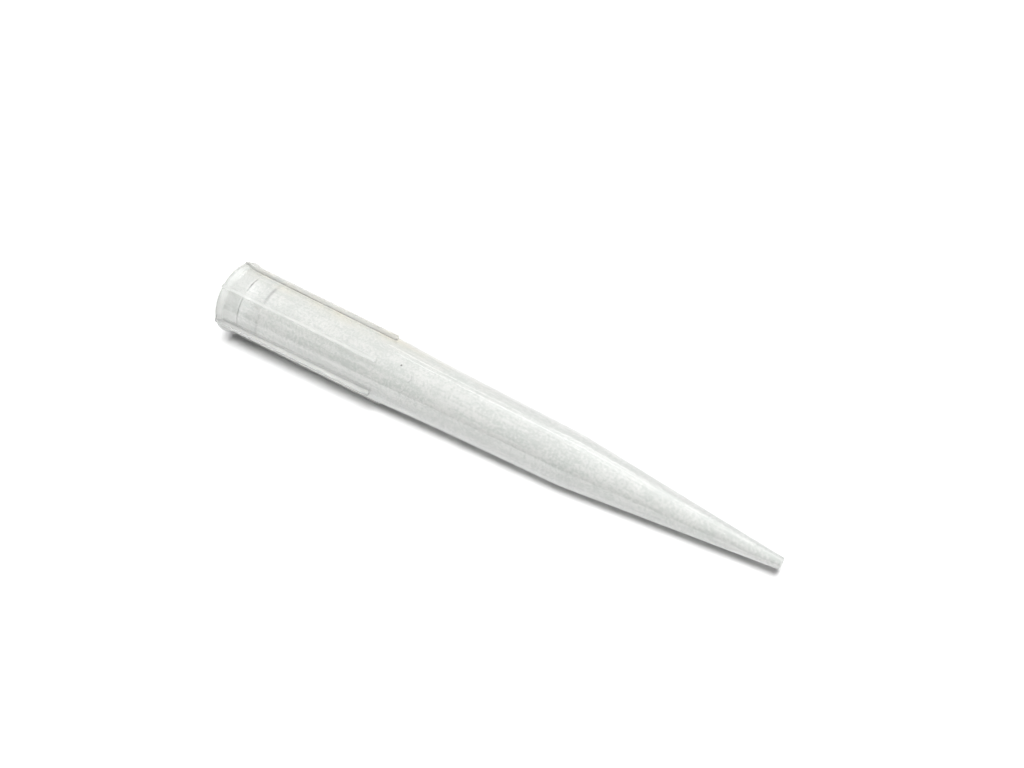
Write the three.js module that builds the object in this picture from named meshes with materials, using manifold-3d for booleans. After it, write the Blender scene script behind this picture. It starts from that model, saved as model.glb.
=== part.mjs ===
// A universal 1000 microlitre pipette tip, moulded in one piece of natural polypropylene.
// A ribbed collar takes the pipette's nozzle, a slim barrel holds most of the sample, and a
// steeper cone runs down to the outlet. The tip lies as it comes to rest: on the ends of its two
// lowest ribs and on the knee between barrel and cone. Millimetres, +Z up, outlet towards +X.
import * as THREE from "three";
import { mergeVertices } from "three/addons/utils/BufferGeometryUtils.js";
import Module from "manifold-3d";

// Lengths along the axis, one after the other from the mouth to the outlet.
const COLLAR_LENGTH = 21.6; // the ribbed grip over the nozzle seat
const NECK_LENGTH = 6.4; // the quick taper just below the ribs
const BARREL_LENGTH = 17.4; // the slow taper down to the knee
const CONE_LENGTH = 24.6; // the steep taper down to the outlet

// Outer radii of the body at the ends of those lengths.
const COLLAR_RADIUS = 4.05;
const NECK_RADIUS = 3.8;
const BARREL_RADIUS = 3.5;
const KNEE_RADIUS = 3.07;
const OUTLET_RADIUS = 0.66;

// Walls, measured from the outer radii to the bore.
const LIP_WALL = 0.33; // at the mouth, inside the rim
const BODY_WALL = 0.54; // collar, neck and barrel
const OUTLET_WALL = 0.27;

// The rim bead round the mouth.
const RIM_HEIGHT = 0.31; // proud of the collar
const RIM_LAND = 0.45; // its full-height band
const RIM_RUNOUT = 0.6; // its slope back to the collar
const RIM_EDGE = 0.06; // the broken outer edge at the mouth face

// The nozzle seat: a lead-in, then two steps that grip nozzles of different makes.
const LEAD_IN = 0.1;
const SEAT_LENGTH = 2.7; // from the mouth to the first step, and on to the second
const SEAT_STEP = 0.12; // what each step takes off the bore's radius
const SEAT_DRAFT = 0.02; // taper of the seat, in radius per length

// The grip ribs, square cut at their lower end so that a rack plate can carry them.
const RIB_COUNT = 6;
const RIB_WIDTH = 0.5;
const RIB_HEIGHT_AT_RIM = 0.45;
const RIB_HEIGHT_AT_END = 0.52;
const RIB_ROOT = 0.2; // how deep a rib's root is merged into the wall

// The tiny bevel on the outlet's outer edge.
const OUTLET_BEVEL = 0.1;

// Facets round the axis: a whole number for every half pitch of the ribs keeps a flat underneath.
const FACETS_PER_HALF_PITCH = 4;
const FACETS = 2 * RIB_COUNT * FACETS_PER_HALF_PITCH;
const FACET_ANGLE = (2 * Math.PI) / FACETS;
const RIB_PITCH = (2 * Math.PI) / RIB_COUNT;

// Stations along the axis, from the mouth face at 0.
const NECK_START = COLLAR_LENGTH;
const BARREL_START = NECK_START + NECK_LENGTH;
const KNEE = BARREL_START + BARREL_LENGTH;
const TIP_LENGTH = KNEE + CONE_LENGTH;

const DOWN = -Math.PI / 2; // straight down, as an angle round the axis from +Y

const wasm = await Module();
wasm.setup();

// The outside from the mouth to the outlet, as points of radius and distance from the mouth.
function outerProfile() {
  const rim = COLLAR_RADIUS + RIM_HEIGHT;
  const slope = (OUTLET_RADIUS - KNEE_RADIUS) / CONE_LENGTH;
  return [
    new THREE.Vector2(rim - RIM_EDGE, 0),
    new THREE.Vector2(rim, RIM_EDGE),
    new THREE.Vector2(rim, RIM_LAND),
    new THREE.Vector2(collarRadiusAt(RIM_LAND + RIM_RUNOUT), RIM_LAND + RIM_RUNOUT),
    new THREE.Vector2(NECK_RADIUS, NECK_START),
    new THREE.Vector2(BARREL_RADIUS, BARREL_START),
    new THREE.Vector2(KNEE_RADIUS, KNEE),
    new THREE.Vector2(OUTLET_RADIUS - slope * OUTLET_BEVEL, TIP_LENGTH - OUTLET_BEVEL),
    new THREE.Vector2(OUTLET_RADIUS - OUTLET_BEVEL, TIP_LENGTH),
  ];
}

// The bore from the outlet back up to the mouth, through both steps of the seat.
function boreProfile() {
  const mouth = COLLAR_RADIUS - LIP_WALL;
  const drop = SEAT_DRAFT * SEAT_LENGTH;
  const firstStep = mouth - drop;
  const secondStep = firstStep - SEAT_STEP - drop;
  return [
    new THREE.Vector2(OUTLET_RADIUS - OUTLET_WALL, TIP_LENGTH),
    new THREE.Vector2(KNEE_RADIUS - BODY_WALL, KNEE),
    new THREE.Vector2(BARREL_RADIUS - BODY_WALL, BARREL_START),
    new THREE.Vector2(NECK_RADIUS - BODY_WALL, NECK_START),
    new THREE.Vector2(secondStep - SEAT_STEP, 2 * SEAT_LENGTH + SEAT_STEP),
    new THREE.Vector2(secondStep, 2 * SEAT_LENGTH),
    new THREE.Vector2(firstStep - SEAT_STEP, SEAT_LENGTH + SEAT_STEP),
    new THREE.Vector2(firstStep, SEAT_LENGTH),
    new THREE.Vector2(mouth, LEAD_IN),
    new THREE.Vector2(mouth + LEAD_IN, 0),
  ];
}

// The body's outer radius under the ribs.
function collarRadiusAt(distance) {
  return THREE.MathUtils.lerp(COLLAR_RADIUS, NECK_RADIUS, distance / COLLAR_LENGTH);
}

// The whole wall as one closed section, turned round the axis, with the axis along +X.
function makeBody() {
  const outside = outerProfile();
  const section = [...outside, ...boreProfile(), outside[0].clone()];
  const body = new THREE.LatheGeometry(section, FACETS, FACET_ANGLE / 2);
  return body.rotateZ(-Math.PI / 2);
}

// One rib: its side outline, drawn along the axis and outwards, given its width.
function makeRib(index) {
  const outline = new THREE.Shape([
    new THREE.Vector2(0, COLLAR_RADIUS - RIB_ROOT),
    new THREE.Vector2(COLLAR_LENGTH, NECK_RADIUS - RIB_ROOT),
    new THREE.Vector2(COLLAR_LENGTH, NECK_RADIUS + RIB_HEIGHT_AT_END),
    new THREE.Vector2(0, COLLAR_RADIUS + RIB_HEIGHT_AT_RIM),
  ]);
  const rib = new THREE.ExtrudeGeometry(outline, { depth: RIB_WIDTH, bevelEnabled: false });
  rib.translate(0, 0, -RIB_WIDTH / 2);
  return rib.rotateX(DOWN + (index + 0.5) * RIB_PITCH);
}

// A closed three.js geometry as a solid that can be joined to others.
function toSolid(geometry) {
  geometry.deleteAttribute("normal");
  geometry.deleteAttribute("uv");
  const merged = mergeVertices(geometry);
  return new wasm.Manifold(
    new wasm.Mesh({
      numProp: 3,
      vertProperties: merged.attributes.position.array,
      triVerts: new Uint32Array(merged.index.array),
    }),
  );
}

// A joined solid back as a geometry with flat facets.
function toGeometry(solid) {
  const mesh = solid.getMesh();
  const geometry = new THREE.BufferGeometry();
  geometry.setAttribute("position", new THREE.BufferAttribute(mesh.vertProperties, 3));
  geometry.setIndex(new THREE.BufferAttribute(mesh.triVerts, 1));
  const flat = geometry.toNonIndexed();
  flat.computeVertexNormals();
  return flat;
}

// How far along the axis the tip balances: the x of its centre of mass.
function balancePoint(geometry) {
  const position = geometry.attributes.position;
  const [a, b, c] = [new THREE.Vector3(), new THREE.Vector3(), new THREE.Vector3()];
  let volume = 0;
  let moment = 0;
  for (let i = 0; i < position.count; i += 3) {
    a.fromBufferAttribute(position, i);
    b.fromBufferAttribute(position, i + 1);
    c.fromBufferAttribute(position, i + 2);
    const share = a.dot(b.clone().cross(c));
    volume += share;
    moment += (share * (a.x + b.x + c.x)) / 4;
  }
  return moment / volume;
}

// The slope at which the tip lies still. Of all pairs of places that could touch the bench on
// either side of the balance point, the pair that reaches lowest there carries the tip.
function restTilt(balance) {
  const flat = Math.cos(FACET_ANGLE / 2);
  const lean = RIB_PITCH / 2;
  const ribEnd = NECK_RADIUS + RIB_HEIGHT_AT_END;
  const feet = [
    { at: RIM_LAND, below: (COLLAR_RADIUS + RIM_HEIGHT) * flat },
    { at: COLLAR_LENGTH, below: ribEnd * Math.cos(lean) + (RIB_WIDTH / 2) * Math.sin(lean) },
    { at: KNEE, below: KNEE_RADIUS * flat },
    { at: TIP_LENGTH - OUTLET_BEVEL, below: OUTLET_RADIUS * flat },
  ];
  let lowest = -Infinity;
  let slope = 0;
  for (const near of feet.filter((foot) => foot.at <= balance)) {
    for (const far of feet.filter((foot) => foot.at > balance)) {
      const fall = (near.below - far.below) / (far.at - near.at);
      const depth = near.below - fall * (balance - near.at);
      if (depth > lowest) {
        lowest = depth;
        slope = fall;
      }
    }
  }
  return Math.atan(slope);
}

// The tip as one solid: the turned wall with every rib joined to it.
function makeTip() {
  let solid = toSolid(makeBody());
  for (let index = 0; index < RIB_COUNT; index += 1) {
    solid = solid.add(toSolid(makeRib(index)));
  }
  return toGeometry(solid);
}

const naturalPolypropylene = new THREE.MeshStandardMaterial({
  color: 0xdfe3dc,
  roughness: 0.32,
  metalness: 0,
});

const geometry = makeTip();
const tip = new THREE.Mesh(geometry, naturalPolypropylene);
tip.name = "pipette_tip";
tip.rotation.y = restTilt(balancePoint(geometry));

// The origin is the middle of the bounding box at bench level.
const group = new THREE.Group();
group.add(tip);
group.updateMatrixWorld(true);
const box = new THREE.Box3().setFromObject(tip, true);
const middle = box.getCenter(new THREE.Vector3());
tip.position.set(-middle.x, -middle.y, -box.min.z);

export default group;
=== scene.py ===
"""A universal pipette tip in natural polypropylene, lying on a white bench.

The tip is one moulding: a ribbed collar with a stepped nozzle seat, a slim barrel and a fine cone.
It is turned here as one smooth skin with rounded edges, in place of the plain faceted solid.
"""

import logging
import math
from dataclasses import dataclass
from enum import Enum

import bmesh
import bpy
from mathutils import Matrix, Quaternion, Vector


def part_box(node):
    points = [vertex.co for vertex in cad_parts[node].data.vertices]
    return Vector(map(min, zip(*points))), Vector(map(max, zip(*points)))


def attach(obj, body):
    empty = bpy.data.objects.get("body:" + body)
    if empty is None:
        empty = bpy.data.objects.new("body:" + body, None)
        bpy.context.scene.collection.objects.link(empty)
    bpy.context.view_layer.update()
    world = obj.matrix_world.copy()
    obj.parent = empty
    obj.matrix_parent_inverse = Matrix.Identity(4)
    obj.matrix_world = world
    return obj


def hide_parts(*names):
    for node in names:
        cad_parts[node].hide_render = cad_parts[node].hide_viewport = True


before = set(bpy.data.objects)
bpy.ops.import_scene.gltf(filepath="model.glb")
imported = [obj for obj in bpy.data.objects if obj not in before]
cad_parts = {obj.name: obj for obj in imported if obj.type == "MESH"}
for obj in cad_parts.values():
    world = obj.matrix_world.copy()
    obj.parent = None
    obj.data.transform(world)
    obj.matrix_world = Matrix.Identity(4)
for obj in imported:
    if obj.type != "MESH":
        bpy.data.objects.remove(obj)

LOG = logging.getLogger("pipette_tip")
MM = 0.001
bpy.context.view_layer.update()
CAD_NODE = "pipette_tip"
CAD_FACETS = 48  # flats round the solid, whose inscribed circle the smooth skin keeps to


class LampRole(Enum):
    """What a studio lamp is for."""

    KEY = "key"  # gives the level and the shadow, and is not seen in gloss or through the plastic
    FILL = "fill"  # lightens the tip softly from behind and above, and is not seen in gloss
    GLINT = "glint"  # shows as a band or a line in gloss and through the plastic, lights no matt face


def math_node(tree: bpy.types.NodeTree, operation: str, *values: object) -> bpy.types.NodeSocket:
    """Adds one sum.

    Args:
        tree: The tree it goes in.
        operation: The Math node's operation.
        values: Its inputs in order, as numbers or sockets.

    Returns:
        The socket with the result.
    """
    node = tree.nodes.new("ShaderNodeMath")
    node.operation = operation
    for socket, value in zip(node.inputs, values):
        if isinstance(value, bpy.types.NodeSocket):
            tree.links.new(value, socket)
        else:
            socket.default_value = value
    return node.outputs[0]


def ease(
    tree: bpy.types.NodeTree, value: bpy.types.NodeSocket, start: float, end: float,
    low: float = 0.0, high: float = 1.0,
) -> bpy.types.NodeSocket:
    """Runs a value smoothly from one level to another.

    Args:
        tree: The tree it goes in.
        value: What it follows.
        start: The value at the low level.
        end: The value at the high level.
        low: The level at the start.
        high: The level at the end.

    Returns:
        The socket with the level.
    """
    node = tree.nodes.new("ShaderNodeMapRange")
    node.interpolation_type = "SMOOTHSTEP"
    tree.links.new(value, node.inputs["Value"])
    for name, number in (("From Min", start), ("From Max", end), ("To Min", low), ("To Max", high)):
        node.inputs[name].default_value = number
    return node.outputs["Result"]


def noise(
    tree: bpy.types.NodeTree, place: bpy.types.NodeSocket, size: tuple[float, float, float],
    detail: float,
) -> bpy.types.NodeSocket:
    """Adds a soft random pattern.

    Args:
        tree: The tree it goes in.
        place: Where on the tip, in its own millimetres.
        size: How large its patches are, along the tip and the two ways across it.
        detail: How many finer layers it has.

    Returns:
        The socket with the pattern, about 0.5 on the whole.
    """
    stretch = tree.nodes.new("ShaderNodeVectorMath")
    stretch.operation = "DIVIDE"
    stretch.inputs[1].default_value = size
    tree.links.new(place, stretch.inputs[0])
    node = tree.nodes.new("ShaderNodeTexNoise")
    node.inputs["Scale"].default_value = 1.0
    node.inputs["Detail"].default_value = detail
    tree.links.new(stretch.outputs[0], node.inputs["Vector"])
    return node.outputs[0]


def blend(
    tree: bpy.types.NodeTree, share: bpy.types.NodeSocket, first: object, second: object
) -> bpy.types.NodeSocket:
    """Blends two colours.

    Args:
        tree: The tree it goes in.
        share: How much of the second colour shows.
        first: A colour or a colour socket.
        second: A colour or a colour socket.

    Returns:
        The socket with the blended colour.
    """
    node = tree.nodes.new("ShaderNodeMix")
    node.data_type = "RGBA"
    tree.links.new(share, node.inputs[0])
    for socket, color in zip((node.inputs[6], node.inputs[7]), (first, second)):
        if isinstance(color, bpy.types.NodeSocket):
            tree.links.new(color, socket)
        else:
            socket.default_value = (*color, 1.0)
    return node.outputs[2]


def mix_level(
    tree: bpy.types.NodeTree, share: bpy.types.NodeSocket, first: object, second: object
) -> bpy.types.NodeSocket:
    """Blends two levels.

    Args:
        tree: The tree it goes in.
        share: How much of the second level counts.
        first: A number or a socket.
        second: A number or a socket.

    Returns:
        The socket with the blended level.
    """
    node = tree.nodes.new("ShaderNodeMix")
    node.data_type = "FLOAT"
    tree.links.new(share, node.inputs[0])
    for socket, level in zip((node.inputs[2], node.inputs[3]), (first, second)):
        if isinstance(level, bpy.types.NodeSocket):
            tree.links.new(level, socket)
        else:
            socket.default_value = level
    return node.outputs[0]


def distance_to(
    tree: bpy.types.NodeTree, place: bpy.types.NodeSocket, middle: tuple[float, ...]
) -> bpy.types.NodeSocket:
    """Measures how far a place is from a fixed point.

    Args:
        tree: The tree it goes in.
        place: Where on the tip, in its own millimetres.
        middle: The fixed point, in the same millimetres.

    Returns:
        The socket with the distance.
    """
    node = tree.nodes.new("ShaderNodeVectorMath")
    node.operation = "DISTANCE"
    node.inputs[1].default_value = middle
    tree.links.new(place, node.inputs[0])
    return node.outputs["Value"]


@dataclass(frozen=True)
class MouldedSurface:
    """What the mould and the plastic's flow leave all over the tip, and a painted warm glow of light
    through the plastic. Lengths are in millimetres.
    """

    grain: float = 0.27  # the size of the finest mottling
    cloud: float = 1.6  # the width of the milky clouds
    cloud_stretch: float = 2.0  # a cloud's length, where its width is 1
    cloud_detail: float = 3.0  # finer layers in clouds and grain
    line_length: float = 30.0  # of the fine draw lines along the tip
    line_pitch: float = 0.32
    line_detail: float = 1.0  # finer layers in the draw lines
    line_relief: float = 1.5  # height of the draw lines, where the grain's is 1
    grain_share: float = 2.2  # of the finest mottling, where lines and clouds are 1
    mottle_spread: float = 0.33  # either side of the patterns' middle, from all grey to all white
    glow_side: tuple[float, float] = (0.0, 2.6)  # across the tip, from where to where the painted glow rises, towards the back
    glow_end: tuple[float, float] = (40.0, 14.0)  # along the tip, from where to where the painted glow rises, towards the mouth
    glow_patch: tuple[float, float] = (0.35, 0.65)  # in the clouds, from where to where the painted glow rises

    def group(self) -> bpy.types.NodeTree:
        """Builds the shared node group, once.

        Returns:
            A group that turns a place on the tip into masks of the plastic's variation and of a
            painted warm glow.
        """
        known = bpy.data.node_groups.get("moulded_surface")
        if known:
            return known
        tree = bpy.data.node_groups.new("moulded_surface", "ShaderNodeTree")
        tree.interface.new_socket("Place", in_out="INPUT", socket_type="NodeSocketVector")
        for name in ("Mottle", "Painted Glow", "Relief"):
            tree.interface.new_socket(name, in_out="OUTPUT", socket_type="NodeSocketFloat")
        place = tree.nodes.new("NodeGroupInput").outputs["Place"]
        result = tree.nodes.new("NodeGroupOutput")
        grain = noise(tree, place, (self.grain, self.grain, self.grain), self.cloud_detail)
        cloud_length = self.cloud * self.cloud_stretch
        cloud = noise(tree, place, (cloud_length, self.cloud, self.cloud), self.cloud_detail)
        line_size = (self.line_length, self.line_pitch, self.line_pitch)
        lines = noise(tree, place, line_size, self.line_detail)
        fine = math_node(tree, "MULTIPLY_ADD", grain, self.grain_share, lines)
        mixed = math_node(tree, "ADD", fine, cloud)
        middle = 0.5 * (self.grain_share + 2)  # lines and clouds count once each
        mottle = ease(tree, mixed, middle - self.mottle_spread, middle + self.mottle_spread)
        tree.links.new(mottle, result.inputs["Mottle"])
        # Painted light: a cream glow of light through thick plastic, on the back side towards the
        # mouth, in patches.
        where = tree.nodes.new("ShaderNodeSeparateXYZ")
        tree.links.new(place, where.inputs[0])
        side = ease(tree, where.outputs["Y"], *self.glow_side)
        end = ease(tree, where.outputs["X"], *self.glow_end)
        patches = ease(tree, cloud, *self.glow_patch)
        painted_glow = math_node(tree, "MULTIPLY", math_node(tree, "MULTIPLY", side, end), patches)
        tree.links.new(painted_glow, result.inputs["Painted Glow"])
        relief = math_node(tree, "MULTIPLY_ADD", lines, self.line_relief, grain)
        tree.links.new(relief, result.inputs["Relief"])
        return tree


@dataclass(frozen=True)
class NaturalPolypropylene:
    """The moulded plastic: clear, a little milky, with a soft as-moulded gloss."""

    name: str
    surface: MouldedSurface = MouldedSurface()
    grey: tuple[float, float, float] = (0.955, 0.975, 0.955)
    white: tuple[float, float, float] = (1.0, 1.0, 0.985)
    # painted light: the warm colour of light glowing through thick plastic
    glow_cream: tuple[float, float, float] = (1.0, 0.96, 0.82)
    transmission: float = 0.85
    roughness: tuple[float, float] = (0.12, 0.2)
    ior: float = 1.49
    gloss: float = 1.0
    gloss_roughness: float = 0.06
    gloss_ior: float = 1.8  # stands for the outer and inner faces' gloss together
    relief: float = 0.03  # height of the grain and draw lines, in millimetres
    lamp_pass: float = 0.0  # light let through where a lamp stands square over the skin
    pass_full: float = 0.3  # how far from square on that still holds
    pass_none: float = 0.7  # how far from square on nothing passes
    painted_step_lines: tuple[tuple[float, float, float], ...] = ()  # painted shade for the refraction at the seat's steps: distance in, half width, grey
    line_side: tuple[float, float] = (-3.0, 0.5)  # across the tip, over which they strengthen
    line_strength: tuple[float, float] = (0.4, 1.0)  # on the weaker side and on the stronger
    line_fade_size: tuple[float, float, float] = (9.0, 1.3, 1.3)  # size of the patches they fade in
    line_fade: tuple[float, float] = (0.36, 0.6)  # in those patches, from gone to whole
    land_end: float = 0.0  # how far in from the mouth the painted shade on the bore's first land reaches
    land_full: float = 0.9  # up to what share of that it is at full strength
    # painted shade: the grey that darkens the first land at the mouth end
    land_shade: tuple[float, float, float] = (0.58, 0.6, 0.57)
    land_share: float = 0.6  # of that grey, the rest being the plastic's own mottled colour
    speck_at: tuple[float, ...] = ()  # the middle of the dark speck, along and across the tip
    speck_radius: float = 0.15
    speck_color: tuple[float, float, float] = (0.03, 0.03, 0.035)
    scratch_round: tuple[float, ...] = ()  # what the scratch curves round, along and across
    scratch_radius: float = 0.56
    scratch_width: float = 0.1  # to each side of its middle
    scratch_start: float = 0.5  # how far on from that point the arc sets in, in its radii
    scratch_fade: float = 0.3  # over how many radii it sets in
    scratch_grey: tuple[float, float, float] = (0.5, 0.5, 0.52)

    def build(self, placement: Matrix) -> bpy.types.Material:
        """Makes the material.

        Args:
            placement: Where the tip lies, from its own millimetres to the bench.

        Returns:
            The finished material.
        """
        material = bpy.data.materials.new(self.name)
        material.use_nodes = True
        tree = material.node_tree
        shader = tree.nodes["Principled BSDF"]
        shader.inputs["IOR"].default_value = self.ior
        shader.inputs["Transmission Weight"].default_value = self.transmission
        shader.inputs["Coat Weight"].default_value = self.gloss
        shader.inputs["Coat Roughness"].default_value = self.gloss_roughness
        shader.inputs["Coat IOR"].default_value = self.gloss_ior
        place = self.own_place(tree, placement)
        moulded = tree.nodes.new("ShaderNodeGroup")
        moulded.node_tree = self.surface.group()
        tree.links.new(place, moulded.inputs["Place"])
        mottled = blend(tree, moulded.outputs["Mottle"], self.grey, self.white)
        # Painted light: the cream glow laid over the mottled colour.
        glowed_color = blend(tree, moulded.outputs["Painted Glow"], mottled, self.glow_cream)
        tree.links.new(self.add_marks(tree, place, glowed_color), shader.inputs["Base Color"])
        dulling = ease(tree, moulded.outputs["Mottle"], 0.0, 1.0, *self.roughness)
        tree.links.new(dulling, shader.inputs["Roughness"])
        bump = tree.nodes.new("ShaderNodeBump")
        bump.inputs["Distance"].default_value = self.relief * MM
        tree.links.new(moulded.outputs["Relief"], bump.inputs["Height"])
        tree.links.new(bump.outputs[0], shader.inputs["Normal"])
        if self.lamp_pass:
            self.let_lamps_through(tree, shader)
        return material

    def own_place(self, tree: bpy.types.NodeTree, placement: Matrix) -> bpy.types.NodeSocket:
        """Turns a place on the bench into one on the tip.

        Args:
            tree: The material's node tree.
            placement: Where the tip lies, from its own millimetres to the bench.

        Returns:
            The socket with millimetres along the tip from its mouth, and across it.
        """
        where = tree.nodes.new("ShaderNodeTexCoord")
        mapping = tree.nodes.new("ShaderNodeMapping")
        shift, turn, scale = placement.inverted().decompose()
        mapping.inputs["Location"].default_value = shift
        mapping.inputs["Rotation"].default_value = turn.to_euler()
        mapping.inputs["Scale"].default_value = scale
        tree.links.new(where.outputs["Object"], mapping.inputs["Vector"])
        return mapping.outputs[0]

    def add_marks(
        self, tree: bpy.types.NodeTree, place: bpy.types.NodeSocket, color: bpy.types.NodeSocket
    ) -> bpy.types.NodeSocket:
        """Adds the painted shade on the first land and at the seat's steps, the speck and the
        scratch, where this finish has them.

        Args:
            tree: The material's node tree.
            place: Where on the tip, in its own millimetres.
            color: The plastic's colour.

        Returns:
            The socket with the marked colour.
        """
        where = tree.nodes.new("ShaderNodeSeparateXYZ")
        tree.links.new(place, where.inputs[0])
        # Painted shade: the bore's first land greyed, darkening the mouth end.
        if self.land_end:
            full = self.land_end * self.land_full
            land = ease(tree, where.outputs["X"], self.land_end, full, 0.0, self.land_share)
            color = blend(tree, land, color, self.land_shade)
        # Painted shade: dark lines at the seat's steps standing for their refraction, fading at
        # random and stronger towards the back.
        for station, width, grey in self.painted_step_lines:
            off = math_node(tree, "SUBTRACT", where.outputs["X"], station)
            line = ease(tree, math_node(tree, "ABSOLUTE", off), width, 0.0)
            faded = ease(tree, noise(tree, place, self.line_fade_size, 1.0), *self.line_fade)
            above = ease(tree, where.outputs["Y"], *self.line_side, *self.line_strength)
            shown = math_node(tree, "MULTIPLY", math_node(tree, "MULTIPLY", line, faded), above)
            color = blend(tree, shown, color, (grey, grey, grey))
        if self.speck_at:
            away = distance_to(tree, place, self.speck_at)
            speck = ease(tree, away, self.speck_radius, self.speck_radius / 2)
            color = blend(tree, speck, color, self.speck_color)
        if self.scratch_round:
            away = distance_to(tree, place, self.scratch_round)
            off = math_node(tree, "SUBTRACT", away, self.scratch_radius)
            line = ease(tree, math_node(tree, "ABSOLUTE", off), self.scratch_width, 0.0)
            start = self.scratch_round[0] + self.scratch_radius * self.scratch_start
            end = start + self.scratch_radius * self.scratch_fade
            side = ease(tree, where.outputs["X"], start, end)
            scratch = math_node(tree, "MULTIPLY", line, side)
            color = blend(tree, scratch, color, self.scratch_grey)
        return color

    def let_lamps_through(self, tree: bpy.types.NodeTree, shader: bpy.types.Node) -> None:
        """Lets lamp light straight through where it meets the skin squarely.

        Args:
            tree: The material's node tree.
            shader: The plastic's own shader.
        """
        path = tree.nodes.new("ShaderNodeLightPath")
        weight = tree.nodes.new("ShaderNodeLayerWeight")
        passing = ease(
            tree, weight.outputs["Facing"], self.pass_full, self.pass_none, self.lamp_pass, 0.0
        )
        share = math_node(tree, "MULTIPLY", path.outputs["Is Shadow Ray"], passing)
        clear = tree.nodes.new("ShaderNodeBsdfTransparent")
        mix = tree.nodes.new("ShaderNodeMixShader")
        tree.links.new(share, mix.inputs[0])
        tree.links.new(shader.outputs[0], mix.inputs[1])
        tree.links.new(clear.outputs[0], mix.inputs[2])
        tree.links.new(mix.outputs[0], tree.nodes["Material Output"].inputs["Surface"])


def looked_at(tree: bpy.types.NodeTree, way: str) -> bpy.types.NodeSocket:
    """Marks the rays that look at a surface, before anything has scattered them.

    Args:
        tree: The material's or world's own node tree.
        way: The kind of ray that counts, by the name of the Light Path node's output.

    Returns:
        A socket of 1 for such a ray and 0 for one that carries light.
    """
    path = tree.nodes.new("ShaderNodeLightPath")
    unscattered = math_node(tree, "LESS_THAN", path.outputs["Diffuse Depth"], 0.5)
    return math_node(tree, "MULTIPLY", path.outputs[way], unscattered)


@dataclass(frozen=True)
class BenchFinish:
    """The plain white bench: matt, and seen as clean white."""

    color: tuple[float, float, float] = (1.0, 1.0, 1.0)
    seen_through: float = 1.0  # how bright it looks through clear plastic, where 1 is white

    def build(self) -> bpy.types.Material:
        """Makes the material.

        Returns:
            The finished material.
        """
        material = bpy.data.materials.new("bench_white")
        material.use_nodes = True
        tree = material.node_tree
        shader = tree.nodes["Principled BSDF"]
        shader.inputs["Base Color"].default_value = (*self.color, 1.0)
        shader.inputs["Roughness"].default_value = 1.0
        shader.inputs["Specular IOR Level"].default_value = 0.0
        plain = tree.nodes.new("ShaderNodeEmission")
        plain.inputs["Strength"].default_value = self.seen_through
        mix = tree.nodes.new("ShaderNodeMixShader")
        tree.links.new(looked_at(tree, "Is Transmission Ray"), mix.inputs[0])
        tree.links.new(shader.outputs[0], mix.inputs[1])
        tree.links.new(plain.outputs[0], mix.inputs[2])
        tree.links.new(mix.outputs[0], tree.nodes["Material Output"].inputs["Surface"])
        return material


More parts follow.
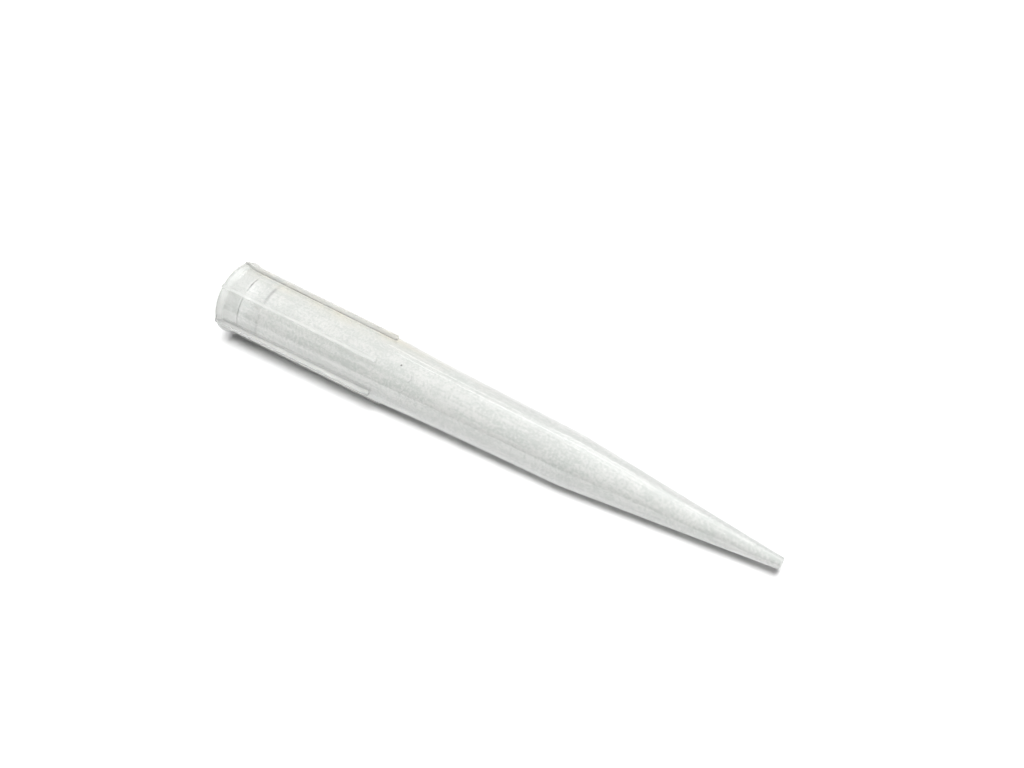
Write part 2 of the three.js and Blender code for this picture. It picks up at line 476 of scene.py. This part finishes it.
@dataclass
class TipMoulding:
    """The pipette tip. Sizes are in millimetres, along and round its own axis."""

    collar_length: float = 21.6
    neck_length: float = 6.4
    barrel_length: float = 17.4
    cone_length: float = 24.6
    collar_radius: float = 4.05
    neck_radius: float = 3.8
    barrel_radius: float = 3.5
    knee_radius: float = 3.07
    outlet_radius: float = 0.66
    lip_wall: float = 0.33
    body_wall: float = 0.54
    outlet_wall: float = 0.27
    rim_height: float = 0.31
    rim_land: float = 0.45
    rim_runout: float = 0.6
    rim_edge: float = 0.06
    lead_in: float = 0.1
    seat_length: float = 2.7
    seat_step: float = 0.12
    seat_draft: float = 0.02
    rib_count: int = 6
    rib_width: float = 0.5
    rib_height_at_rim: float = 0.45
    rib_height_at_end: float = 0.52
    rib_draft: float = 0.92  # a rib's width at its crest, as a share of its root
    rib_edge: float = 0.05
    outlet_bevel: float = 0.1
    land_round: float = 0.12  # where the rim's land ends
    runout_round: float = 0.2  # at the foot of the rim's run-out
    barrel_blend: float = 1.6  # where the barrel starts
    knee_blend: float = 0.9
    neck_blend: float = 1.0  # in the bore only
    seat_round: float = 0.05  # on the seat's steps and the bore's edge at the outlet
    lead_round: float = 0.04  # where the lead-in ends
    mouth_round: float = 0.03  # on the bore's edge at the mouth
    mouth_gap: float = 0.002  # sets the mouth back, so that its rim stays in the solid's box
    weld: float = 1e-5  # how close two corners are to count as one
    past_mouth: float = 1e-4  # how far in from the mouth face an edge has to lie to be rounded
    outer_share: float = 0.99  # of the neck's radius, beyond which an edge is on the outside
    rib_angle: float = 40.0  # degrees, above which such an edge is rounded
    crease_angle: float = 35.0  # degrees, above which shading breaks
    outer_lean: float = 0.02  # outward lean times radius, above which a face is outer skin
    bore_lean: float = -0.1  # outward lean below which a face belongs to the bore
    thick_from: float = 0.08  # height over the wall from which the plastic counts as thick
    steps_per_rib: int = 4
    steps_per_pitch: int = 34
    longest_span: float = 1.5  # of one ring of faces
    skin: NaturalPolypropylene = NaturalPolypropylene(
        "natural_polypropylene", lamp_pass=0.57, pass_full=0.35, pass_none=0.95,
        speck_at=(24.23, -1.06, 3.51), scratch_round=(25.5, -1.9, 3.05),
    )
    bore: NaturalPolypropylene = NaturalPolypropylene(
        "natural_polypropylene_bore", grey=(0.8, 0.83, 0.805), transmission=0.25,
        roughness=(0.08, 0.14), gloss=0.0,
        # painted shade: dark lines at the seat's steps and a greyed first land
        painted_step_lines=((2.76, 0.16, 0.26), (5.46, 0.3, 0.5)), land_end=2.7,
    )
    rib: NaturalPolypropylene = NaturalPolypropylene(
        # its glow colour is painted light, the glow of light through the thick ribs
        "natural_polypropylene_rib", glow_cream=(1.0, 0.985, 0.93), transmission=0.71,
        roughness=(0.16, 0.24), gloss=0.6, gloss_roughness=0.12, lamp_pass=0.7, pass_none=0.95,
    )

    @property
    def knee(self) -> float:
        """Distance from the mouth to the knee between barrel and cone."""
        return self.collar_length + self.neck_length + self.barrel_length

    @property
    def length(self) -> float:
        """Distance from the mouth to the outlet."""
        return self.knee + self.cone_length

    @property
    def flat(self) -> float:
        """The solid's inscribed circle as a share of its round size."""
        return math.cos(math.pi / CAD_FACETS)

    def wall_radius(self, distance: float) -> float:
        """The collar's radius under the ribs, at a distance from the mouth."""
        share = distance / self.collar_length
        return self.collar_radius + (self.neck_radius - self.collar_radius) * share

    def rib_crest(self, distance: float) -> float:
        """Height of a rib's crest above the axis, at a distance from the mouth."""
        share = distance / self.collar_length
        at_rim = self.collar_radius + self.rib_height_at_rim
        at_end = self.neck_radius + self.rib_height_at_end
        return at_rim + (at_end - at_rim) * share

    def rest_tilt(self) -> float:
        """The slope at which the tip lies on two ribs' ends and its knee, in radians."""
        lean = math.pi / self.rib_count
        crest = self.rib_crest(self.collar_length)
        ribs = crest * math.cos(lean) + self.rib_width / 2 * math.sin(lean)
        return math.atan((ribs - self.knee_radius * self.flat) / (self.knee - self.collar_length))

    def placement(self) -> Matrix:
        """Where the tip lies: from its own axis, mouth at the origin, to the bench."""
        tilt = self.rest_tilt()
        rim = (self.collar_radius + self.rim_height - self.rim_edge) * self.flat
        low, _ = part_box(CAD_NODE)
        mouth_x = low.x / MM + rim * math.sin(tilt)
        mouth_z = self.knee * math.sin(tilt) + self.knee_radius * self.flat * math.cos(tilt)
        turn = Matrix.Rotation(tilt, 4, "Y")
        return Matrix.Scale(MM, 4) @ Matrix.Translation((mouth_x, 0, mouth_z)) @ turn

    def section(self) -> list[tuple[float, float, float, int]]:
        """The wall's closed section.

        Returns:
            Corners as distance from the mouth, radius, length rounded off and rounding segments.
        """
        rim = self.collar_radius + self.rim_height
        run = self.rim_land + self.rim_runout
        under_rim = self.wall_radius(run)
        neck_start = self.collar_length
        barrel_start = neck_start + self.neck_length
        mouth = self.collar_radius - self.lip_wall
        drop = self.seat_draft * self.seat_length
        first = mouth - drop
        second = first - self.seat_step - drop
        seat = self.seat_length
        step = self.seat_step
        return [
            (self.mouth_gap, rim, self.rim_edge, 4),
            (self.rim_land, rim, self.land_round, 3),
            (run, under_rim, self.runout_round, 4),
            (neck_start, self.neck_radius, 0.0, 0),
            (barrel_start, self.barrel_radius, self.barrel_blend, 4),
            (self.knee, self.knee_radius, self.knee_blend, 5),
            (self.length, self.outlet_radius, self.outlet_bevel, 4),
            (self.length, self.outlet_radius - self.outlet_wall, self.seat_round, 3),
            (self.knee, self.knee_radius - self.body_wall, self.knee_blend, 5),
            (barrel_start, self.barrel_radius - self.body_wall, self.barrel_blend, 4),
            (neck_start, self.neck_radius - self.body_wall, self.neck_blend, 4),
            (2 * seat + step, second - step, self.seat_round, 3),
            (2 * seat, second, self.seat_round, 3),
            (seat + step, first - step, self.seat_round, 3),
            (seat, first, self.seat_round, 3),
            (self.lead_in, mouth, self.lead_round, 2),
            (self.mouth_gap, mouth + self.lead_in, self.mouth_round, 2),
        ]

    def add_section(self, bm: bmesh.types.BMesh) -> None:
        """Draws the section as one closed wire with rounded corners, upright over the axis.

        Args:
            bm: The empty mesh to draw in.
        """
        corners = self.section()
        verts = [bm.verts.new((x, 0.0, r * self.flat)) for x, r, _, _ in corners]
        for start, end in zip(verts, verts[1:] + verts[:1]):
            bm.edges.new((start, end))
        for vert, (_, _, rounded, segments) in zip(verts, corners):
            if segments:
                bmesh.ops.bevel(
                    bm, geom=[vert], offset=rounded, segments=segments, profile=0.5,
                    affect="VERTICES", clamp_overlap=True, material=-1,
                )
        for edge in list(bm.edges):
            cuts = math.ceil(edge.calc_length() / self.longest_span) - 1
            if cuts > 0:
                bmesh.ops.subdivide_edges(bm, edges=[edge], cuts=cuts)

    def turn(self, bm: bmesh.types.BMesh) -> None:
        """Spins the section into the wall of the tip.

        Args:
            bm: The mesh that holds the section.
        """
        bmesh.ops.spin(
            bm, geom=[*bm.verts, *bm.edges], cent=(0, 0, 0), axis=(1, 0, 0), dvec=(0, 0, 0),
            angle=math.tau, steps=self.rib_count * self.steps_per_pitch, use_merge=True,
            use_duplicate=False,
        )
        bmesh.ops.remove_doubles(bm, verts=bm.verts, dist=self.weld)
        bmesh.ops.recalc_face_normals(bm, faces=bm.faces)

    def raise_ribs(self, bm: bmesh.types.BMesh) -> None:
        """Pulls the ribs out of the collar as strips of its skin.

        Args:
            bm: The turned wall.
        """
        pitch = math.tau / self.rib_count
        half = pitch * self.steps_per_rib / self.steps_per_pitch / 2
        for index in range(self.rib_count):
            middle = index * pitch
            out = Vector((0, -math.sin(middle), math.cos(middle)))
            side = Vector((1, 0, 0)).cross(out)
            strip = []
            for face in bm.faces:
                centre = face.calc_center_median()
                across = Vector((0, centre.y, centre.z))
                if not 0 < centre.x < self.collar_length:
                    continue
                if face.normal.dot(across) > self.outer_lean and across.angle(out) < half:
                    strip.append(face)
            raised = bmesh.ops.extrude_face_region(bm, geom=strip)["geom"]
            for item in raised:
                if isinstance(item, bmesh.types.BMVert):
                    aside = item.co.dot(side) * self.rib_draft
                    crest = out * self.rib_crest(item.co.x)
                    item.co = Vector((item.co.x, 0, 0)) + crest + side * aside
            bmesh.ops.delete(bm, geom=strip, context="FACES_KEEP_BOUNDARY")
        bm.normal_update()

    def soften(self, bm: bmesh.types.BMesh) -> None:
        """Rounds the sharp edges of the ribs.

        Args:
            bm: The wall with its ribs.
        """
        sharp = []
        for edge in bm.edges:
            if len(edge.link_faces) != 2 or edge.calc_face_angle() <= math.radians(self.rib_angle):
                continue
            reach = max(Vector((0, v.co.y, v.co.z)).length for v in edge.verts)
            nearest = min(v.co.x for v in edge.verts)
            outer = reach > self.neck_radius * self.outer_share
            if outer and nearest > self.mouth_gap + self.past_mouth:
                sharp.append(edge)
        bmesh.ops.bevel(
            bm, geom=sharp, offset=self.rib_edge, offset_type="OFFSET", segments=2, profile=0.5,
            affect="EDGES", clamp_overlap=True, material=-1,
        )

    def share_finishes(self, bm: bmesh.types.BMesh) -> None:
        """Gives each face its finish: 0 for the thin skin, 1 for the bore, 2 for thick plastic.

        Args:
            bm: The whole moulding, still round its own axis.
        """
        bm.normal_update()
        for face in bm.faces:
            centre = face.calc_center_median()
            across = Vector((0, centre.y, centre.z))
            thick = across.length > self.wall_radius(centre.x) + self.thick_from
            if face.normal.dot(across.normalized()) < self.bore_lean:
                face.material_index = 1
            elif centre.x < self.collar_length and thick:
                face.material_index = 2

    def build(self) -> bpy.types.Object:
        """Makes the moulding as one skin, in its place on the bench.

        Returns:
            The finished object, riding on the solid's body and standing for it.
        """
        bm = bmesh.new()
        self.add_section(bm)
        self.turn(bm)
        self.raise_ribs(bm)
        self.soften(bm)
        self.share_finishes(bm)
        bmesh.ops.rotate(
            bm, verts=bm.verts, cent=(0, 0, 0),
            matrix=Matrix.Rotation(math.pi / self.rib_count, 3, "X"),
        )
        bmesh.ops.transform(bm, matrix=self.placement(), verts=bm.verts)
        bmesh.ops.recalc_face_normals(bm, faces=bm.faces)
        for face in bm.faces:
            face.smooth = True
        for edge in bm.edges:
            edge.smooth = edge.calc_face_angle(0.0) < math.radians(self.crease_angle)
        mesh = bpy.data.meshes.new("tip_moulding")
        bm.to_mesh(mesh)
        bm.free()
        tip = bpy.data.objects.new("tip_moulding", mesh)
        bpy.context.scene.collection.objects.link(tip)
        for finish in (self.skin, self.bore, self.rib):
            mesh.materials.append(finish.build(self.placement()))
        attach(tip, "root")
        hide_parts(CAD_NODE)
        return tip


def direction(azimuth: float, elevation: float) -> Vector:
    """Which way something lies from the tip.

    Args:
        azimuth: Degrees round from the front, -Y, towards +X.
        elevation: Degrees above the bench.

    Returns:
        The unit vector that way.
    """
    around = math.radians(azimuth)
    above = math.radians(elevation)
    level = math.cos(above)
    return Vector((math.sin(around) * level, -math.cos(around) * level, math.sin(above)))


@dataclass(frozen=True)
class Lamp:
    """One soft lamp over the bench. Lengths are in millimetres, angles in degrees."""

    role: LampRole
    azimuth: float
    elevation: float
    distance: float
    size: tuple[float, float]  # level and upright
    brightness: float  # of its face, where 1 is white

    def add(self) -> None:
        """Adds the lamp, facing the middle of the bench."""
        light = bpy.data.lights.new(self.role.value, "AREA")
        width, height = (side * MM for side in self.size)
        glint = self.role is LampRole.GLINT
        light.shape = "RECTANGLE" if glint else "ELLIPSE"
        light.size = width
        light.size_y = height
        area = width * height * (1 if glint else math.pi / 4)
        light.energy = self.brightness * math.pi * area
        towards = direction(self.azimuth, self.elevation)
        lamp = bpy.data.objects.new(self.role.value, light)
        lamp.location = towards * self.distance * MM
        lamp.rotation_mode = "QUATERNION"
        lamp.rotation_quaternion = towards.to_track_quat("Z", "Y")
        lamp.visible_camera = False
        lamp.visible_glossy = glint
        lamp.visible_diffuse = not glint
        lamp.visible_transmission = self.role is not LampRole.KEY
        bpy.context.scene.collection.objects.link(lamp)


@dataclass
class Studio:
    """The white bench, its soft lamps and the camera. Lengths are in millimetres unless noted."""

    azimuth: float = 33.8959
    elevation: float = 48.3388
    roll: float = -2.2649
    distance: float = 155.3404
    target: tuple[float, float, float] = (0.6469, 3.8031, 5.9877)
    lens: float = 50.0
    sensor: float = 36.0
    clip: tuple[float, float] = (0.005, 10.0)  # nearest and farthest the camera sees, in metres
    bench_size: float = 1.0  # in metres
    lamps: tuple[Lamp, ...] = (
        Lamp(LampRole.KEY, 33.9, 73.5, 3000.0, (1150.0, 1150.0), 28.0),
        Lamp(LampRole.FILL, 171.6, 79.0, 2600.0, (1300.0, 1300.0), 2.8),
        Lamp(LampRole.GLINT, 171.6, 55.5, 2600.0, (2000.0, 1900.0), 0.75),
        Lamp(LampRole.GLINT, -164.0, 53.8, 2600.0, (900.0, 150.0), 1.6),
        Lamp(LampRole.GLINT, -164.0, 38.0, 2600.0, (900.0, 120.0), 1.4),
    )
    surround: float = 0.05  # as a light, where 1 is white
    brighter_way: tuple[float, float, float] = (0.0, 0.6, 0.5)  # from the dim front, back and up
    seen_through: float = 1.0  # how bright it looks through clear plastic
    mirrored_front: float = 0.04  # how bright the dim front looks in gloss

    def add_bench(self) -> bpy.types.Object:
        """Adds the bench that the tip lies on.

        Returns:
            The bench.
        """
        bm = bmesh.new()
        bmesh.ops.create_grid(bm, x_segments=1, y_segments=1, size=self.bench_size / 2)
        mesh = bpy.data.meshes.new("bench")
        bm.to_mesh(mesh)
        bm.free()
        bench = bpy.data.objects.new("bench", mesh)
        bpy.context.scene.collection.objects.link(bench)
        mesh.materials.append(BenchFinish().build())
        return bench

    def set_world(self) -> None:
        """Sets the surround: plain white to look at, dimmer in front in gloss, and a faint light."""
        world = bpy.data.worlds.new("surround")
        bpy.context.scene.world = world
        world.use_nodes = True
        tree = world.node_tree
        path = tree.nodes.new("ShaderNodeLightPath")
        where = tree.nodes.new("ShaderNodeTexCoord")
        brighter_way = tree.nodes.new("ShaderNodeVectorMath")
        brighter_way.operation = "DOT_PRODUCT"
        brighter_way.inputs[1].default_value = self.brighter_way
        tree.links.new(where.outputs["Generated"], brighter_way.inputs[0])
        shade = tree.nodes.new("ShaderNodeMapRange")
        shade.inputs["From Min"].default_value = -self.brighter_way[1]
        shade.inputs["From Max"].default_value = self.brighter_way[2]
        shade.inputs["To Min"].default_value = self.mirrored_front
        shade.inputs["To Max"].default_value = 1.0
        tree.links.new(brighter_way.outputs["Value"], shade.inputs["Value"])
        mirrored = looked_at(tree, "Is Glossy Ray")
        lit = mix_level(tree, mirrored, self.surround, shade.outputs["Result"])
        refracted = looked_at(tree, "Is Transmission Ray")
        through = mix_level(tree, refracted, lit, self.seen_through)
        seen = mix_level(tree, path.outputs["Is Camera Ray"], through, 1.0)
        background = tree.nodes["Background"]
        background.inputs["Color"].default_value = (1.0, 1.0, 1.0, 1.0)
        tree.links.new(seen, background.inputs["Strength"])

    def add_camera(self) -> None:
        """Adds the camera that looks down on the tip from close by."""
        data = bpy.data.cameras.new("camera")
        data.lens = self.lens
        data.sensor_width = self.sensor
        data.clip_start = self.clip[0]
        data.clip_end = self.clip[1]
        camera = bpy.data.objects.new("camera", data)
        back = direction(self.azimuth, self.elevation)
        camera.location = (Vector(self.target) + back * self.distance) * MM
        camera.rotation_mode = "QUATERNION"
        level = (-back).to_track_quat("-Z", "Y")
        camera.rotation_quaternion = level @ Quaternion((0, 0, 1), math.radians(self.roll))
        bpy.context.scene.collection.objects.link(camera)
        bpy.context.scene.camera = camera

    def build(self) -> None:
        """Sets up the whole studio."""
        self.add_camera()
        self.add_bench()
        for lamp in self.lamps:
            lamp.add()
        self.set_world()
        bpy.context.scene.view_settings.view_transform = "Standard"


def report(piece: bpy.types.Object) -> None:
    """Logs a finished piece.

    Args:
        piece: The object to report.
    """
    LOG.info("%s: %d faces", piece.name, len(piece.data.polygons))


def main() -> None:
    """Builds the studio and the tip."""
    logging.basicConfig(level=logging.INFO, format="%(name)s %(message)s")
    Studio().build()
    report(TipMoulding().build())


if __name__ == "__main__":
    main()
